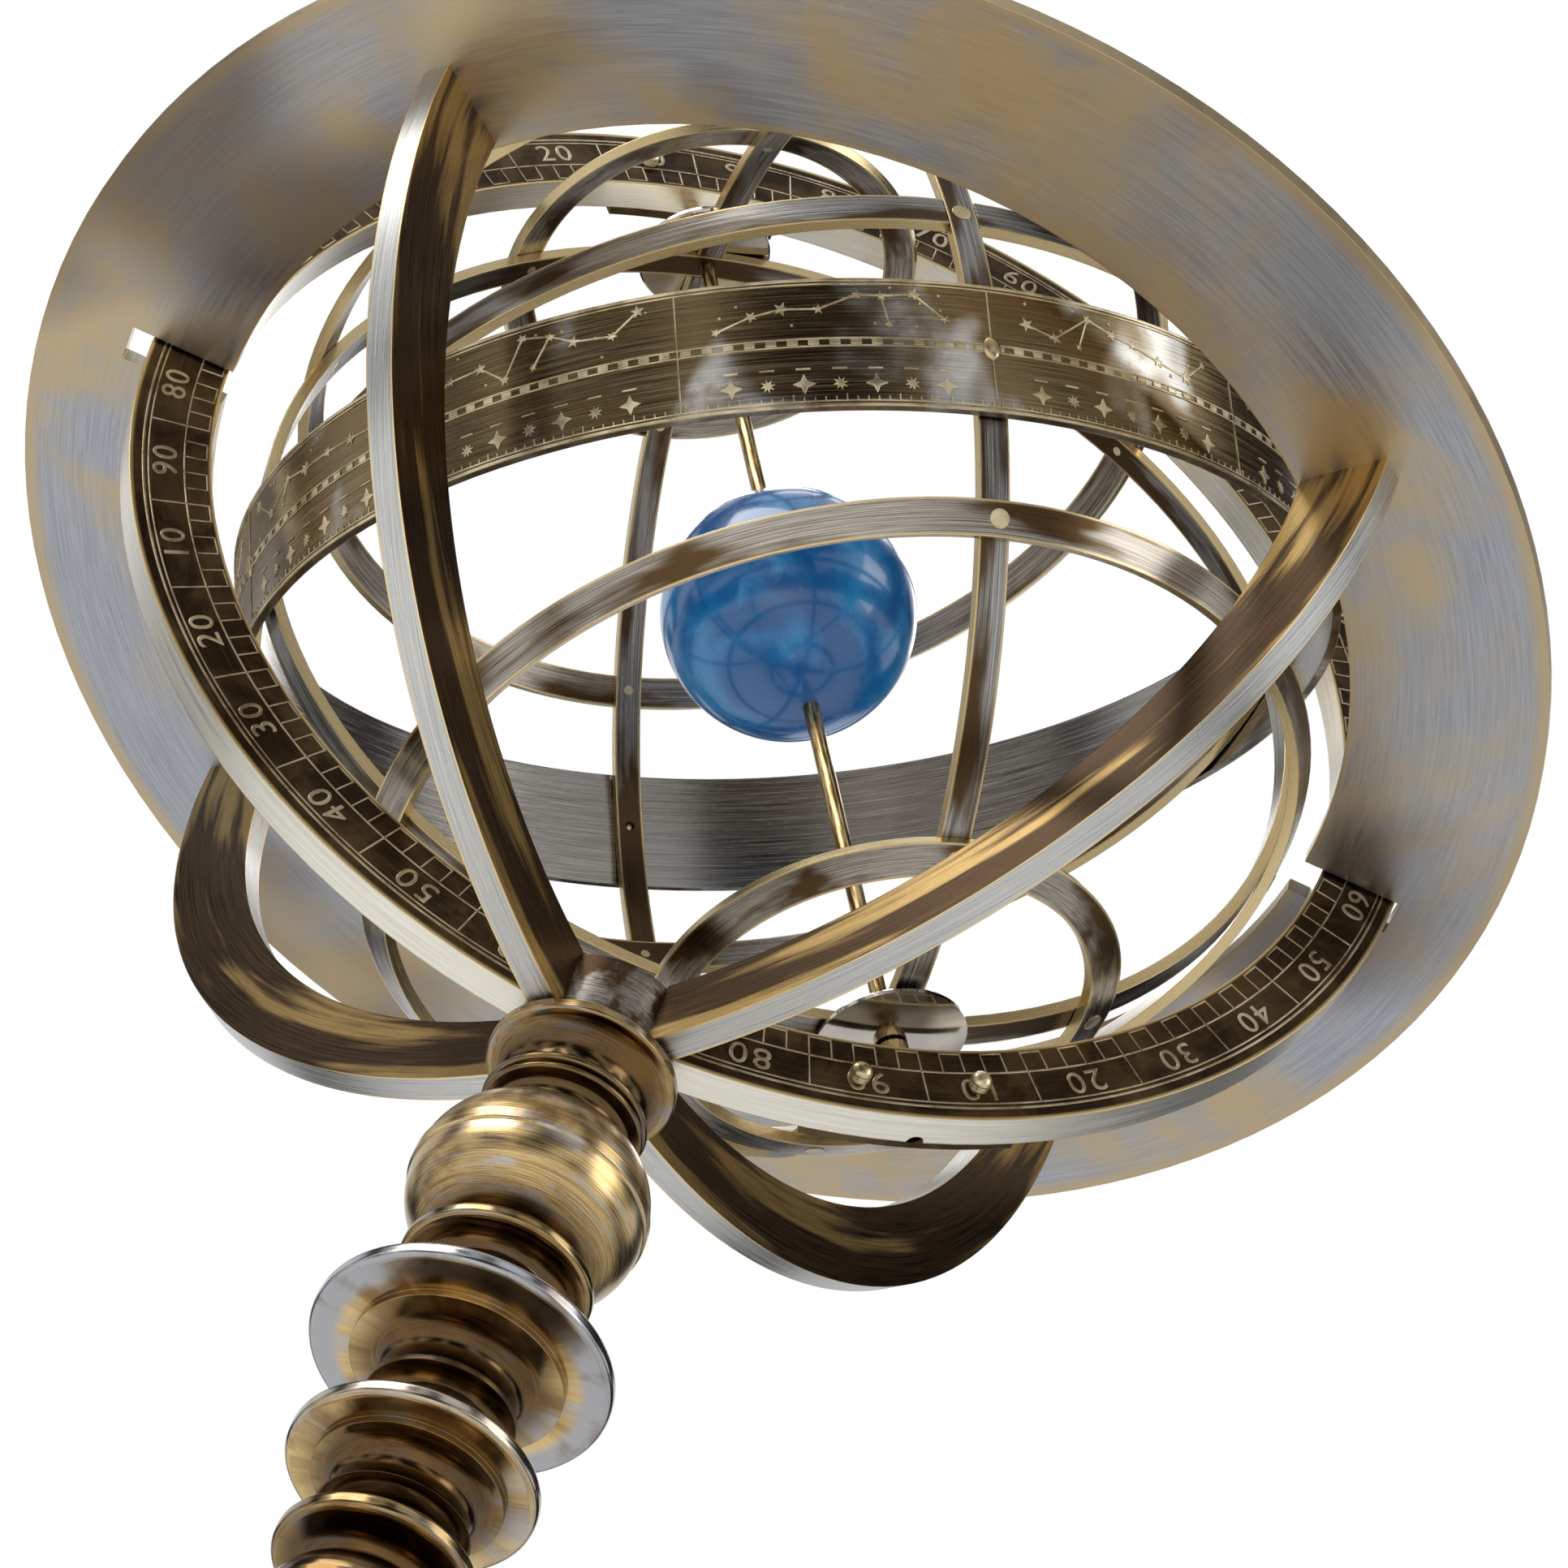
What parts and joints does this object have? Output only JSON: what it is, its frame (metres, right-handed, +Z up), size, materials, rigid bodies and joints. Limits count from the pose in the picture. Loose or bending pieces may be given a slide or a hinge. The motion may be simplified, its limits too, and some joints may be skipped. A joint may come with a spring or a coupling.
{
  "type": "armillary sphere",
  "caption": "Tabletop armillary sphere: a cage of strip rings with a wide tilted band turns inside a meridian ring held by a slotted horizon ring on a turned stem.",
  "frame": {"origin": "centre of the base's underside", "axes": "+Z up along the stem; the meridian ring lies in the XZ plane, with the cage's south pole on the +X side"},
  "size_m": [0.3, 0.3, 0.4715],
  "materials": {
    "stem_brass": "polished, lathe-turned antique brass",
    "arm_brass": "brushed, darkened brass",
    "horizon_brass": "satin grey and gold antique brass",
    "meridian_brass": "etched and darkened brass",
    "cage_brass": "brushed dark brass",
    "zodiac_brass": "etched antique brass",
    "cap_brass": "mirror-polished brass",
    "rod_brass": "plain golden brass",
    "screw_brass": "bright brass",
    "ball_blue": "glossy, marbled deep blue",
    "steel": "plain zinc-plated steel",
    "felt": "dark green felt"
  },
  "bodies": {
    "stand": {"base_felt": "felt", "base_foot": "stem_brass", "foot_collar": "stem_brass", "lower_baluster": "stem_brass", "middle_baluster": "stem_brass", "upper_baluster": "stem_brass", "knop": "stem_brass", "neck": "stem_brass", "bell_cup": "stem_brass", "hub": "arm_brass", "tie_rod": "steel", "tie_washer": "steel", "tie_nut": "steel", "arm_front_left": "arm_brass", "arm_front_right": "arm_brass", "arm_back_left": "arm_brass", "arm_back_right": "arm_brass", "horizon_ring": "horizon_brass"},
    "meridian": {"meridian_ring": "meridian_brass", "south_pole_plate": "meridian_brass", "north_pole_plate": "meridian_brass", "pole_screws_south": "screw_brass", "pole_screws_north": "screw_brass", "axis_rod": "rod_brass", "earth_ball": "ball_blue", "south_collar": "rod_brass", "north_collar": "rod_brass"},
    "cage": {"solstice_colure": "cage_brass", "equinox_colure": "cage_brass", "equator_ring": "cage_brass", "north_tropic": "cage_brass", "south_tropic": "cage_brass", "arctic_ring": "cage_brass", "antarctic_ring": "cage_brass", "zodiac_band": "zodiac_brass", "south_cap": "cap_brass", "north_cap": "cap_brass", "strip_rivets": "screw_brass", "zodiac_studs": "screw_brass"}
  },
  "joints": [
    {"name": "meridian_tilt", "type": "hinge", "parent": "stand", "child": "meridian", "pos_m": [0.0016, 0, 0.3402], "axis": [0, -1, 0], "range_deg": [-10, 45]},
    {"name": "cage_spin", "type": "hinge", "parent": "meridian", "child": "cage", "pos_m": [0.0016, 0.0035, 0.3402], "axis": [-0.4321, 0, 0.9018], "continuous": true}
  ]
}
